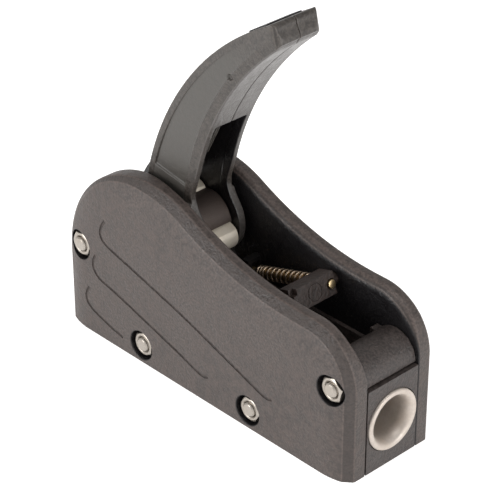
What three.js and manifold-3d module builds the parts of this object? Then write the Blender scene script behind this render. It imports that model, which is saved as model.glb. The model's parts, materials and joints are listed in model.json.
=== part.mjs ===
// Lever-operated rope clutch for a boat deck, modelled as the pieces it comes apart into.
// Millimetres, +Z up, +X towards the rope entry under the handle tip, origin at the centre
// of the base. The handle stands open.
import * as THREE from 'three';
import { mergeVertices } from 'three/addons/utils/BufferGeometryUtils.js';
import Module from 'manifold-3d';

const wasm = await Module();
wasm.setup();

// ---- driving dimensions ----
const LENGTH = 132.4;
const WIDTH = 40;
const DOME_HEIGHT = 67.6;
const DOME_RADIUS = 40;
const SHOULDER_HEIGHT = 51.2;
const FRONT_RADIUS = 19;
const SWEEP_RADIUS = 115;
const GAP = 0.3;

// covers
const HALF_LENGTH = LENGTH / 2;
const HALF_WIDTH = WIDTH / 2;
const COVER_INNER = 11.34;
const CROWN_DROP = 2;
const CROWN_REACH = 9;

// base moulding with its rope channel
const CORE_HALF = COVER_INNER - GAP;
const SHELF_HEIGHT = 30.9;
const FLOOR_HEIGHT = 10;
const CHANNEL_HALF = 9.6;
const CHANNEL_END = 48;
const BRIDGE_SEAT = 26;
const FRONT_LIP = 62.1;
const DECK_HOLE_X = 40.5;
const DECK_HOLE_RADIUS = 3.3;
const DECK_HEAD_RADIUS = 6.2;
const DECK_HEAD_DEPTH = 4.2;
const JAW = { x0: -19, x1: 13, half: 7.6, low: 6.8, top: 10.2, teeth: 11, tooth: 0.9 };

// rope bushes in the two end walls
const ROPE_HEIGHT = 15.96;
const BUSH_FLANGE_RADIUS = 10.53;
const BUSH_THROAT_RADIUS = 7.3;
const BUSH_BARREL_RADIUS = 8.7;
const BUSH_PROUD = 0.8;
const BUSH_FLANGE = 2;
const BUSH_LENGTH = 18;
const BUSH_FLARE = { width: 2, depth: 4.5 };

// cross bolts and nuts, M5
const BOLT_PLACES = [
  [-58.5, 32.0],
  [-28.2, 6.36],
  [22.75, 6.36],
  [58.3, 32.0],
];
const BOLT_RADIUS = 2.5;
const BOLT_HOLE_RADIUS = BOLT_RADIUS + GAP;
const RECESS_RADIUS = 5.05;
const RECESS_DEPTH = 5;
const NUT_FLATS = 8;
const NUT_HEIGHT = 4.2;
const HEAD_RADIUS = 4.2;
const HEAD_HEIGHT = 4.2;
const KEY_FLATS = 4;
const KEY_DEPTH = 2.4;

// bridges over the base ends
const BRIDGE_X = 56.5;
const BRIDGE_Z = 31.6;
const BRIDGE_RADIUS = 8.4;
const BRIDGE_TAB = { inner: 7.6, back: 48.5, front: 55, top: 37.9 };

// handle pivot and crank
const PIVOT = { x: -21.3, z: 49 };
const CRANK = { x: -13.1, z: 45.7 };
const TIE = { x: -28, z: 56 };
const SHAFT_RADIUS = 4;
const SHAFT_SOCKET = 5.5;
const PIN_RADIUS = 4.8;
const PIN_JOURNAL_RADIUS = 2.5;
const HUB_RADIUS = 9.6;

// handle
const HANDLE_HALF = 9.5;
const WALL_INNER = 6.6;
const LOBE_RADIUS = 12.5;
const BACK_ARC = { x: 73.06, z: 37.96, r: 111.2 };
const PALM_ARC = { x: 91.8, z: 46.1, r: 107.2 };
const BACK_FOOT = { x: PIVOT.x - LOBE_RADIUS, z: 66 };
const PALM_FOOT = { x: -11.7, z: 74 };
const NECK = { bendIn: [-14.1, 60.3], bendOut: [-15.6, 63.5], end: [-13.9, 67.5] };
const TIP_TOP = { x: 22.2, z: 136.6 };
const TIP_LOW = { x: 24.6, z: 129.9 };
const SKIN = 3;
const RIB_HALF = 0.7;
const SOLID_FROM = 91.5;
const HOLLOW_FOOT = 62.5;
const RIB_EDGE = [[-27.5, 76], [-16.7, 76], [-10.7, 87.9], [-9.8, 92.5], [-23, 92.5]];
const INLAY = { start: 2.09, end: 2.172, half: 7.6, depth: 1.2, proud: 0.4 };

// spring gear beside the cam
const SPRING_TILT = THREE.MathUtils.degToRad(17.5);
const BLOCK = { x: 29.4, z: 45.5, length: 6, height: 7.6, half: 8.7 };
const ROD_Y = 7;
const ROD_RADIUS = 1.5;
const ROD_LENGTH = 61;
const ROD_PROUD = 0.7;
const TRUNNION_RADIUS = 1.8;
const TRUNNION_END = 13;
const COIL_RADIUS = 2.08;
const WIRE_RADIUS = 0.42;
const COIL_TURNS = 10;
const COIL_STEPS = 8;
const SEAT_REACH = 29;
const SEAT_THICKNESS = 1.4;
const SEAT_RADIUS = 2.4;
const CLIP_BACK = 1.5;
const CLIP_THICKNESS = 0.6;

// cam
const CAM_HALF = 4.2;
const CAM_START_RADIUS = 19;
const CAM_GROWTH = 5.2;
const TOOTH_DEPTH = 0.9;
const TOOTH_COUNT = 12;
const CAM_FIRST = -0.35;
const CAM_LAST = 0.75;
const KNUCKLE_RADIUS = 7.8;
const MOUTH = { start: -0.66, end: 2.6, reach: 14 };
const FORK = { thick: 2.6, below: 10.8, above: 4.8, slotBelow: 9.3, slotAbove: 3.2, setBack: 0.75 };

// ---- helpers ----
function solid(geometry) {
  const bare = geometry.index ? geometry.toNonIndexed() : geometry.clone();
  bare.deleteAttribute('normal');
  bare.deleteAttribute('uv');
  const merged = mergeVertices(bare, 1e-4);
  return new wasm.Manifold(new wasm.Mesh({
    numProp: 3,
    vertProperties: new Float32Array(merged.attributes.position.array),
    triVerts: new Uint32Array(merged.index.array),
  }));
}

function piece(name, body, material) {
  const cut = body.getMesh();
  const geometry = new THREE.BufferGeometry();
  geometry.setAttribute('position', new THREE.BufferAttribute(cut.vertProperties, cut.numProp));
  geometry.setIndex(new THREE.BufferAttribute(cut.triVerts, 1));
  geometry.computeVertexNormals();
  const mesh = new THREE.Mesh(geometry, material);
  mesh.name = name;
  return mesh;
}

// A stretch on one side of the middle, its lower end first.
function onSide(side, inner, outer) {
  return [Math.min(side * inner, side * outer), Math.max(side * inner, side * outer)];
}

// A shape drawn in X and Z, made solid between two Y values.
function plate(shape, yLow, yHigh, curveSegments = 10) {
  const geometry = new THREE.ExtrudeGeometry(shape, {
    depth: yHigh - yLow,
    bevelEnabled: false,
    curveSegments,
  });
  geometry.rotateX(Math.PI / 2);
  geometry.translate(0, yHigh, 0);
  return solid(geometry);
}

function box(x0, x1, y0, y1, z0, z1) {
  const geometry = new THREE.BoxGeometry(x1 - x0, y1 - y0, z1 - z0);
  geometry.translate((x0 + x1) / 2, (y0 + y1) / 2, (z0 + z1) / 2);
  return solid(geometry);
}

function barY(radius, x, z, y0, y1, sides = 20) {
  const geometry = new THREE.CylinderGeometry(radius, radius, y1 - y0, sides);
  geometry.translate(x, (y0 + y1) / 2, z);
  return solid(geometry);
}

function barX(radius, y, z, x0, x1, sides = 28) {
  const geometry = new THREE.CylinderGeometry(radius, radius, x1 - x0, sides);
  geometry.rotateZ(Math.PI / 2);
  geometry.translate((x0 + x1) / 2, y, z);
  return solid(geometry);
}

function barZ(radius, x, y, z0, z1, sides = 24) {
  const geometry = new THREE.CylinderGeometry(radius, radius, z1 - z0, sides);
  geometry.rotateX(Math.PI / 2);
  geometry.translate(x, y, (z0 + z1) / 2);
  return solid(geometry);
}

function hexY(flats, x, z, y0, y1) {
  return barY(flats / Math.sqrt(3), x, z, y0, y1, 6);
}

function joined(first, ...others) {
  return others.reduce((sum, other) => sum.add(other), first);
}

function less(first, ...others) {
  return others.reduce((rest, other) => rest.subtract(other), first);
}

function finish(colour, roughness, metalness) {
  return () => new THREE.MeshStandardMaterial({ color: colour, roughness, metalness });
}

const nylon = finish(0x6c6461, 0.62, 0);
const handleNylon = finish(0x736e6b, 0.5, 0);
const blackNylon = finish(0x1c1a1a, 0.5, 0);
const brownNylon = finish(0x4a4340, 0.6, 0);
const stainless = finish(0xcfc6ba, 0.3, 1);
const satinSteel = finish(0x9a918b, 0.4, 1);
const darkMetal = finish(0x57514b, 0.42, 1);
const brass = finish(0xb8a07a, 0.35, 1);
const springSteel = finish(0xa8937c, 0.35, 1);
const camAlloy = finish(0x8e8c88, 0.5, 1);

// ---- covers ----
function coverOutline(low) {
  const frontX = HALF_LENGTH - FRONT_RADIUS;
  const frontZ = SHOULDER_HEIGHT - FRONT_RADIUS;
  const domeX = -HALF_LENGTH + DOME_RADIUS;
  const domeZ = DOME_HEIGHT - DOME_RADIUS;
  const reach = DOME_RADIUS + SWEEP_RADIUS;
  const rise = SHOULDER_HEIGHT + SWEEP_RADIUS - domeZ;
  const run = Math.sqrt(reach * reach - rise * rise);
  const sweep = Math.asin(run / reach);
  const quarter = Math.PI / 2;
  const shape = new THREE.Shape();
  shape.moveTo(-HALF_LENGTH, low);
  shape.lineTo(HALF_LENGTH, low);
  shape.absarc(frontX, frontZ, FRONT_RADIUS, 0, quarter, false);
  shape.absarc(domeX + run, SHOULDER_HEIGHT + SWEEP_RADIUS, SWEEP_RADIUS, -quarter, -quarter - sweep, true);
  shape.absarc(domeX, domeZ, DOME_RADIUS, quarter - sweep, Math.PI, false);
  return shape;
}

// side is -1 for the nut side and 1 for the bolt-head side
function cover(side) {
  const below = 2 * CROWN_REACH;
  const geometry = new THREE.ExtrudeGeometry(coverOutline(-below), {
    depth: WIDTH - 2 * CROWN_DROP,
    bevelEnabled: true,
    bevelThickness: CROWN_DROP,
    bevelSize: CROWN_REACH,
    bevelOffset: -CROWN_REACH,
    bevelSegments: 3,
    curveSegments: 7,
  });
  geometry.rotateX(Math.PI / 2);
  geometry.translate(0, HALF_WIDTH - CROWN_DROP, 0);
  const [yLow, yHigh] = onSide(side, COVER_INNER, HALF_WIDTH);
  const slab = box(-HALF_LENGTH - 1, HALF_LENGTH + 1, yLow, yHigh, 0, DOME_HEIGHT + 1);
  let body = solid(geometry).intersect(slab);
  for (const [x, z] of BOLT_PLACES) {
    const [low, high] = onSide(side, HALF_WIDTH - RECESS_DEPTH, HALF_WIDTH + 1);
    const recess = barY(RECESS_RADIUS, x, z, low, high, 28);
    body = less(body, recess, barY(BOLT_HOLE_RADIUS, x, z, yLow - 1, yHigh + 1));
  }
  const shaftReach = onSide(side, COVER_INNER - 1, COVER_INNER + SHAFT_SOCKET);
  const stubReach = onSide(side, COVER_INNER - 1, TRUNNION_END + GAP);
  const shaftSocket = barY(SHAFT_RADIUS + GAP, PIVOT.x, PIVOT.z, ...shaftReach, 28);
  const stubSocket = barY(TRUNNION_RADIUS + GAP, BLOCK.x, BLOCK.z, ...stubReach, 20);
  return less(body, shaftSocket, stubSocket);
}

// ---- base, bridges, bushes, jaw ----
function base() {
  let body = box(-HALF_LENGTH, HALF_LENGTH, -CORE_HALF, CORE_HALF, 0, SHELF_HEIGHT);
  const above = SHELF_HEIGHT + 1;
  body = less(body, box(-CHANNEL_END, CHANNEL_END, -CHANNEL_HALF, CHANNEL_HALF, FLOOR_HEIGHT, above));
  for (const end of [-1, 1]) {
    const [seatLow, seatHigh] = onSide(end, CHANNEL_END, FRONT_LIP);
    const [wallLow, wallHigh] = onSide(end, CHANNEL_END - 1, HALF_LENGTH + 1);
    const [flangeLow, flangeHigh] = onSide(end, HALF_LENGTH - BUSH_FLANGE + BUSH_PROUD - GAP, HALF_LENGTH + 1);
    const seat = box(seatLow, seatHigh, -CORE_HALF - 1, CORE_HALF + 1, BRIDGE_SEAT, above);
    const bore = barX(BUSH_BARREL_RADIUS + GAP, 0, ROPE_HEIGHT, wallLow, wallHigh);
    const flange = barX(BUSH_FLANGE_RADIUS + GAP, 0, ROPE_HEIGHT, flangeLow, flangeHigh);
    const deckHole = barZ(DECK_HOLE_RADIUS, end * DECK_HOLE_X, 0, -1, FLOOR_HEIGHT + 1);
    const headTop = FLOOR_HEIGHT + 1;
    const deckHead = barZ(DECK_HEAD_RADIUS, end * DECK_HOLE_X, 0, FLOOR_HEIGHT - DECK_HEAD_DEPTH, headTop);
    body = less(body, seat, bore, flange, deckHole, deckHead);
  }
  for (const [x, z] of BOLT_PLACES.slice(1, 3)) {
    body = less(body, barY(BOLT_HOLE_RADIUS, x, z, -HALF_WIDTH, HALF_WIDTH));
  }
  const half = JAW.half + GAP;
  return less(body, box(JAW.x0 - GAP, JAW.x1 + GAP, -half, half, JAW.low - GAP, above));
}

function baseJaw() {
  const pitch = (JAW.x1 - JAW.x0) / JAW.teeth;
  const shape = new THREE.Shape();
  shape.moveTo(JAW.x0, JAW.low);
  shape.lineTo(JAW.x1, JAW.low);
  for (let i = JAW.teeth; i > 0; i -= 1) {
    shape.lineTo(JAW.x0 + i * pitch, JAW.top + JAW.tooth);
    shape.lineTo(JAW.x0 + (i - 1) * pitch, JAW.top);
  }
  return plate(shape, -JAW.half, JAW.half);
}

function bridge(end) {
  const back = CHANNEL_END + GAP;
  const front = FRONT_LIP - GAP;
  const low = BRIDGE_SEAT + GAP;
  const shape = new THREE.Shape();
  shape.moveTo(back, low);
  shape.lineTo(front, low);
  shape.lineTo(front, BRIDGE_Z);
  shape.absarc(BRIDGE_X, BRIDGE_Z, BRIDGE_RADIUS, 0, Math.PI, false);
  shape.lineTo(back, BRIDGE_Z);
  let body = plate(shape, -CORE_HALF, CORE_HALF, 12);
  for (const side of [-1, 1]) {
    const tab = onSide(side, BRIDGE_TAB.inner, CORE_HALF);
    body = joined(body, box(BRIDGE_TAB.back, BRIDGE_TAB.front, ...tab, BRIDGE_Z - 1, BRIDGE_TAB.top));
  }
  if (end < 0) {
    body = body.mirror([1, 0, 0]);
  }
  const [x, z] = end < 0 ? BOLT_PLACES[0] : BOLT_PLACES[3];
  return less(body, barY(BOLT_HOLE_RADIUS, x, z, -HALF_WIDTH, HALF_WIDTH));
}

function bush(end) {
  const mouth = HALF_LENGTH + BUSH_PROUD;
  const flangeBack = mouth - BUSH_FLANGE;
  const points = [
    [BUSH_THROAT_RADIUS, mouth - BUSH_LENGTH],
    [BUSH_BARREL_RADIUS, mouth - BUSH_LENGTH],
    [BUSH_BARREL_RADIUS, flangeBack],
    [BUSH_FLANGE_RADIUS, flangeBack],
    [BUSH_FLANGE_RADIUS, mouth - 0.5],
    [BUSH_FLANGE_RADIUS - 0.5, mouth],
    [BUSH_THROAT_RADIUS + BUSH_FLARE.width, mouth],
  ];
  for (let i = 1; i <= 5; i += 1) {
    const turn = (i / 5) * (Math.PI / 2);
    const radius = BUSH_THROAT_RADIUS + BUSH_FLARE.width * (1 - Math.sin(turn));
    points.push([radius, mouth - BUSH_FLARE.depth * (1 - Math.cos(turn))]);
  }
  points.push(points[0]);
  const geometry = new THREE.LatheGeometry(points.map(([r, y]) => new THREE.Vector2(r, y)), 28);
  geometry.rotateZ(-Math.PI / 2);
  if (end < 0) {
    geometry.rotateY(Math.PI);
  }
  geometry.translate(0, 0, ROPE_HEIGHT);
  return solid(geometry);
}

// ---- fasteners ----
function crossBolt(x, z) {
  const seat = HALF_WIDTH - RECESS_DEPTH + GAP;
  const shank = barY(BOLT_RADIUS, x, z, -HALF_WIDTH + 0.2, seat + 1);
  const head = barY(HEAD_RADIUS, x, z, seat, seat + HEAD_HEIGHT);
  const key = hexY(KEY_FLATS, x, z, seat + HEAD_HEIGHT - KEY_DEPTH, seat + HEAD_HEIGHT + 1);
  return less(joined(shank, head), key);
}

function nut(x, z) {
  const seat = -HALF_WIDTH + RECESS_DEPTH - GAP;
  const blank = hexY(NUT_FLATS, x, z, seat - NUT_HEIGHT, seat);
  const chamfer = new THREE.CylinderGeometry(NUT_FLATS / 2 + 1.6, NUT_FLATS / 2 - 0.1, NUT_HEIGHT, 24);
  chamfer.translate(x, seat - NUT_HEIGHT / 2, z);
  return less(blank.intersect(solid(chamfer)), barY(BOLT_RADIUS + GAP, x, z, seat - NUT_HEIGHT - 1, seat + 1));
}

// ---- handle ----
function arcZ(arc, x) {
  return arc.z + Math.sqrt(arc.r * arc.r - (x - arc.x) * (x - arc.x));
}

function angleOn(arc, point) {
  return Math.atan2(point.z - arc.z, point.x - arc.x);
}

function handleOutline() {
  const shape = new THREE.Shape();
  const backTop = { x: TIP_TOP.x - 1.6, z: arcZ(BACK_ARC, TIP_TOP.x - 1.6) };
  const palmTop = { x: TIP_LOW.x - 1.8, z: arcZ(PALM_ARC, TIP_LOW.x - 1.8) };
  shape.absarc(PIVOT.x, PIVOT.z, LOBE_RADIUS, Math.PI, 2 * Math.PI + 0.7, false);
  shape.bezierCurveTo(...NECK.bendIn, ...NECK.bendOut, ...NECK.end);
  shape.lineTo(PALM_FOOT.x, PALM_FOOT.z);
  const palm = [angleOn(PALM_ARC, PALM_FOOT), angleOn(PALM_ARC, palmTop)];
  shape.absarc(PALM_ARC.x, PALM_ARC.z, PALM_ARC.r, ...palm, true);
  shape.lineTo(TIP_LOW.x, TIP_LOW.z + 0.5);
  shape.lineTo(TIP_TOP.x + 0.8, TIP_TOP.z - 1.5);
  shape.lineTo(TIP_TOP.x - 0.6, TIP_TOP.z);
  shape.lineTo(backTop.x, backTop.z);
  const back = [angleOn(BACK_ARC, backTop), angleOn(BACK_ARC, BACK_FOOT)];
  shape.absarc(BACK_ARC.x, BACK_ARC.z, BACK_ARC.r, ...back, false);
  return shape;
}

// The hollow under the handle: open to the front, closed by the back skin.
function handleHollow() {
  const inner = { x: BACK_ARC.x, z: BACK_ARC.z, r: BACK_ARC.r - SKIN };
  const top = { x: inner.x - Math.sqrt(inner.r * inner.r - (SOLID_FROM - inner.z) ** 2), z: SOLID_FROM };
  const foot = { x: BACK_FOOT.x + SKIN, z: HOLLOW_FOOT };
  const under = PIVOT.z - LOBE_RADIUS - 2;
  const shape = new THREE.Shape();
  shape.moveTo(top.x, top.z);
  shape.absarc(inner.x, inner.z, inner.r, angleOn(inner, top), angleOn(inner, { x: foot.x, z: 68 }), false);
  shape.lineTo(foot.x, foot.z);
  shape.lineTo(foot.x - 2 * SKIN, foot.z);
  shape.lineTo(foot.x - 2 * SKIN, under);
  shape.lineTo(10, under);
  shape.lineTo(10, SOLID_FROM);
  return shape;
}

function handleRib() {
  return new THREE.Shape(RIB_EDGE.map(([x, z]) => new THREE.Vector2(x, z)));
}

function handleHalf(side) {
  const middle = GAP / 2;
  const whole = plate(handleOutline(), ...onSide(side, middle, HANDLE_HALF), 12);
  const hollow = plate(handleHollow(), ...onSide(side, middle - 1, WALL_INNER), 10);
  const rib = plate(handleRib(), ...onSide(side, middle, RIB_HALF)).intersect(whole);
  return less(
    joined(less(whole, hollow), rib),
    barY(SHAFT_RADIUS + GAP, PIVOT.x, PIVOT.z, -HALF_WIDTH, HALF_WIDTH, 28),
    barY(PIN_JOURNAL_RADIUS + GAP, CRANK.x, CRANK.z, -HALF_WIDTH, HALF_WIDTH, 20),
    barY(PIN_JOURNAL_RADIUS + GAP, TIE.x, TIE.z, -HALF_WIDTH, HALF_WIDTH, 20),
    plate(inlayShape(2, INLAY.depth, 0), -INLAY.half, INLAY.half, 8),
  );
}

function inlayShape(rise, drop, trim) {
  const { start, end } = INLAY;
  const shape = new THREE.Shape();
  shape.absarc(BACK_ARC.x, BACK_ARC.z, BACK_ARC.r + rise, start + trim, end - trim, false);
  shape.absarc(BACK_ARC.x, BACK_ARC.z, BACK_ARC.r - drop, end - trim, start + trim, true);
  return shape;
}

function gripInlay() {
  const half = INLAY.half - GAP;
  return plate(inlayShape(INLAY.proud, INLAY.depth - GAP, GAP / BACK_ARC.r), -half, half, 8);
}

function pivotHub() {
  const half = WALL_INNER - GAP;
  return less(
    barY(HUB_RADIUS, PIVOT.x, PIVOT.z, -half, half, 32),
    barY(SHAFT_RADIUS + GAP, PIVOT.x, PIVOT.z, -half - 1, half + 1, 28),
    barY(PIN_RADIUS + GAP, CRANK.x, CRANK.z, -half - 1, half + 1, 24),
    barY(PIN_RADIUS + GAP, TIE.x, TIE.z, -half - 1, half + 1, 24),
  );
}

function shoulderPin(x, z) {
  const body = barY(PIN_RADIUS, x, z, -WALL_INNER + 2 * GAP, WALL_INNER - 2 * GAP, 24);
  return joined(body, barY(PIN_JOURNAL_RADIUS, x, z, -HANDLE_HALF + 0.5, HANDLE_HALF - 0.5, 20));
}

function pivotShaft() {
  const end = COVER_INNER + SHAFT_SOCKET - GAP;
  return barY(SHAFT_RADIUS, PIVOT.x, PIVOT.z, -end, end, 28);
}

function thrustWasher(side) {
  const [low, high] = onSide(side, HANDLE_HALF + GAP, COVER_INNER - GAP);
  const ring = barY(8, PIVOT.x, PIVOT.z, low, high, 28);
  return less(ring, barY(SHAFT_RADIUS + GAP, PIVOT.x, PIVOT.z, low - 1, high + 1, 28));
}

// ---- cam ----
// Angles run from straight down towards +X; the radius grows that way.
function camRadius(angle) {
  return CAM_START_RADIUS + CAM_GROWTH * Math.max(0, angle - CAM_FIRST);
}

function camPoint(angle, radius) {
  return [CRANK.x + radius * Math.sin(angle), CRANK.z - radius * Math.cos(angle)];
}

function camOutline() {
  const step = (CAM_LAST - CAM_FIRST) / TOOTH_COUNT;
  const shape = new THREE.Shape();
  shape.moveTo(CRANK.x, CRANK.z);
  shape.lineTo(...camPoint(CAM_FIRST - 0.12, camRadius(CAM_FIRST) - 1));
  for (let i = 0; i < TOOTH_COUNT; i += 1) {
    const here = CAM_FIRST + step * i;
    const next = here + step;
    shape.lineTo(...camPoint(here, camRadius(here) + TOOTH_DEPTH));
    shape.lineTo(...camPoint(next, camRadius(next)));
  }
  shape.lineTo(...camPoint(CAM_LAST + 0.06, camRadius(CAM_LAST) - 1));
  return shape;
}

// The knuckle is open in front, so the cam hooks under the crank pin.
function camMouth() {
  const shape = new THREE.Shape();
  shape.moveTo(CRANK.x, CRANK.z);
  shape.absarc(CRANK.x, CRANK.z, MOUTH.reach, MOUTH.start, MOUTH.end, false);
  return plate(shape, -HALF_WIDTH, HALF_WIDTH, 6);
}

function cam() {
  const knuckle = barY(KNUCKLE_RADIUS, CRANK.x, CRANK.z, -CAM_HALF, CAM_HALF, 36);
  const [seatX, lugZ] = rodPoint(SEAT_REACH + SEAT_THICKNESS + GAP);
  const lugX = seatX - SEAT_RADIUS * Math.sin(SPRING_TILT) - FORK.setBack;
  const lug = box(lugX - FORK.thick, lugX, CAM_HALF - 1, ROD_Y + 2.3, lugZ - FORK.below, lugZ + FORK.above);
  const slotLow = ROD_Y - ROD_RADIUS - GAP;
  const slotHigh = ROD_Y + ROD_RADIUS + GAP;
  const slot = box(lugX - 5, lugX + 1, slotLow, slotHigh, lugZ - FORK.slotBelow, lugZ + FORK.slotAbove);
  const body = less(joined(plate(camOutline(), -CAM_HALF, CAM_HALF), knuckle), camMouth());
  return less(
    joined(body, lug),
    slot,
    barY(PIN_RADIUS + GAP, CRANK.x, CRANK.z, -HALF_WIDTH, HALF_WIDTH, 32),
    barY(HUB_RADIUS + 2 * GAP, PIVOT.x, PIVOT.z, -HALF_WIDTH, HALF_WIDTH, 32),
  );
}

// ---- spring gear ----
function rodPoint(reach) {
  return [BLOCK.x - reach * Math.cos(SPRING_TILT), BLOCK.z - reach * Math.sin(SPRING_TILT)];
}

// Turns a body laid out along +X from the block's centre onto the spring line.
function onSpringLine(body) {
  return body.rotate([0, THREE.MathUtils.radToDeg(-SPRING_TILT), 0]).translate([BLOCK.x, 0, BLOCK.z]);
}

function springBlock() {
  const { length, height, half } = BLOCK;
  const body = box(-length / 2, length / 2, -half, half, -height / 2, height / 2);
  const notch = box(length / 2 - 2.2, length, -half - 1, -half + 1.6, height / 2 - 2, height);
  const stubs = barY(TRUNNION_RADIUS, 0, 0, -TRUNNION_END, TRUNNION_END, 20);
  const hole = barX(ROD_RADIUS + GAP, ROD_Y, 0, -length, length, 20);
  return onSpringLine(less(joined(less(body, notch), stubs), hole));
}

function guideRod() {
  const front = BLOCK.length / 2 + ROD_PROUD;
  const rod = barX(ROD_RADIUS, ROD_Y, 0, front - ROD_LENGTH, front, 20);
  const groove = less(
    barX(ROD_RADIUS + 1, ROD_Y, 0, front - ROD_LENGTH + 1.2, front - ROD_LENGTH + 2.4, 20),
    barX(ROD_RADIUS - 0.5, ROD_Y, 0, front - ROD_LENGTH, front, 20),
  );
  return onSpringLine(less(rod, groove));
}

function rodClip() {
  const start = BLOCK.length / 2 + ROD_PROUD - ROD_LENGTH + CLIP_BACK;
  const ring = barX(ROD_RADIUS + 0.6, ROD_Y, 0, start, start + CLIP_THICKNESS, 24);
  const mouth = box(start - 1, start + 2, ROD_Y - 0.8, ROD_Y + 0.8, -4, 0);
  return onSpringLine(less(ring, barX(ROD_RADIUS - GAP, ROD_Y, 0, start - 1, start + 2, 20), mouth));
}

function springSeat() {
  const front = -SEAT_REACH;
  const ring = barX(SEAT_RADIUS, ROD_Y, 0, front - SEAT_THICKNESS, front, 24);
  return onSpringLine(less(ring, barX(ROD_RADIUS + GAP, ROD_Y, 0, front - 5, front + 1, 20)));
}

function returnSpring() {
  const start = -BLOCK.length / 2 - WIRE_RADIUS - GAP;
  const end = -SEAT_REACH + WIRE_RADIUS + GAP;
  const steps = COIL_TURNS * COIL_STEPS;
  const points = [];
  for (let i = 0; i <= steps; i += 1) {
    const turn = (i / COIL_STEPS) * 2 * Math.PI;
    const x = start + ((end - start) * i) / steps;
    points.push(new THREE.Vector3(x, ROD_Y + COIL_RADIUS * Math.cos(turn), COIL_RADIUS * Math.sin(turn)));
  }
  const wire = new THREE.Shape();
  wire.absarc(0, 0, WIRE_RADIUS, 0, 2 * Math.PI, false);
  const geometry = new THREE.ExtrudeGeometry(wire, {
    steps,
    bevelEnabled: false,
    curveSegments: 3,
    extrudePath: new THREE.CatmullRomCurve3(points),
  });
  return onSpringLine(solid(geometry));
}

// ---- assembly ----
const clutch = new THREE.Group();
const add = (name, body, material) => clutch.add(piece(name, body, material()));

add('cover_near', cover(-1), nylon);
add('cover_far', cover(1), nylon);
add('base_channel', base(), nylon);
add('base_jaw', baseJaw(), satinSteel);
add('front_bridge', bridge(1), nylon);
add('rear_bridge', bridge(-1), nylon);
add('front_bush', bush(1), satinSteel);
add('rear_bush', bush(-1), satinSteel);
BOLT_PLACES.forEach(([x, z], i) => {
  add(`cross_bolt_${i + 1}`, crossBolt(x, z), stainless);
  add(`nut_${i + 1}`, nut(x, z), stainless);
});
add('pivot_shaft', pivotShaft(), stainless);
add('thrust_washer_near', thrustWasher(-1), blackNylon);
add('thrust_washer_far', thrustWasher(1), blackNylon);
add('handle_half_near', handleHalf(-1), handleNylon);
add('handle_half_far', handleHalf(1), handleNylon);
add('grip_inlay', gripInlay(), blackNylon);
add('pivot_hub', pivotHub(), darkMetal);
add('crank_pin', shoulderPin(CRANK.x, CRANK.z), stainless);
add('tie_pin', shoulderPin(TIE.x, TIE.z), stainless);
add('cam', cam(), camAlloy);
add('spring_block', springBlock(), brownNylon);
add('guide_rod', guideRod(), brass);
add('rod_clip', rodClip(), stainless);
add('spring_seat', springSeat(), springSteel);
add('return_spring', returnSpring(), springSteel);

export default clutch;
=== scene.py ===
"""Rope clutch: the looks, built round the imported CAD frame.

Sizes are in millimetres, and MM turns them into metres. X runs along the rope, Z is up."""
import json
import math

import bmesh
import bpy
from mathutils import Matrix, Vector

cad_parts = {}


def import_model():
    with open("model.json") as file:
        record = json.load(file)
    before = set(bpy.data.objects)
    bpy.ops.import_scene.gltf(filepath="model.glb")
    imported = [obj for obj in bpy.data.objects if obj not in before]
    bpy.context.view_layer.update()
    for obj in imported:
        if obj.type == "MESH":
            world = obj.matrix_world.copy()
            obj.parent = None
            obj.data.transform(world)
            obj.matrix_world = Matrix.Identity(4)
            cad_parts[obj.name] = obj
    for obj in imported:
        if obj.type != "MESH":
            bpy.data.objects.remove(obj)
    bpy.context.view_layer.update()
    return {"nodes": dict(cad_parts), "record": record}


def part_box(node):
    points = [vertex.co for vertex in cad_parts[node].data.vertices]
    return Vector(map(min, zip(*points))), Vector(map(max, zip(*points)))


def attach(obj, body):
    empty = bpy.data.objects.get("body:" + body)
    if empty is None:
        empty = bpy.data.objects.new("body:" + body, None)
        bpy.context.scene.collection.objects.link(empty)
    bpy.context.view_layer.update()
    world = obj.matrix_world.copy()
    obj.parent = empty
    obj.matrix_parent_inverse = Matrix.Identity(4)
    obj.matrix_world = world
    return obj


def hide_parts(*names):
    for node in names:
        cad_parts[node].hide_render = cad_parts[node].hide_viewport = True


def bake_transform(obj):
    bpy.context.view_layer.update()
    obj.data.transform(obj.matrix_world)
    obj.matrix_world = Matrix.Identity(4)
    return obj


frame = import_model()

MM = 0.001
PI = math.pi


# ---------------------------------------------------------------- sizes from the frame
def node_box(node):
    low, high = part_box(node)
    return Vector(low) / MM, Vector(high) / MM


def joint_place(name):
    joint = next(j for j in frame["record"]["behaviour"]["joints"] if j["name"] == name)
    return Vector(joint["pos_m"]) / MM


def centre_of(node):
    low, high = node_box(node)
    return (low + high) / 2


COVER_LOW, COVER_HIGH = node_box("cover_far")
HALF_LENGTH = COVER_HIGH.x
HALF_WIDTH = COVER_HIGH.y
COVER_INNER = COVER_LOW.y
DOME_HEIGHT = COVER_HIGH.z
DOME_RADIUS = 40
SHOULDER_HEIGHT = 51.2
FRONT_RADIUS = 19
SWEEP_RADIUS = 115
CROWN_REACH = 11
CROWN_DROP = 2.5
CROWN_POWER = 2.2
RIM_BAND = 3.0
RIM_BAND_REAR = 1.5
BAND_RISE = 0.85
INNER_RADIUS = 3.2
INNER_RADIUS_ENDS = 0.5
SLOT_STARTS = (-36, -14)
SLOT_RISES = (34, 48)
BAND_WIDENS = (-52, -18)
GROOVE_RADIUS = 0.6
GAP = 0.3

BASE_HIGH = node_box("base_channel")[1]
CORE_HALF = BASE_HIGH.y
SHELF_HEIGHT = BASE_HIGH.z
FLOOR_HEIGHT = 10
CHANNEL_HALF = 9.6
CHANNEL_END = 48
BRIDGE_SEAT = 26
FRONT_LIP = 62.1
DECK_HOLE_X = 40.5
DECK_HOLE_RADIUS = 3.3
COUNTERBORE_RADIUS = 6.2
COUNTERBORE_FLOOR = 5.8

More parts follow.
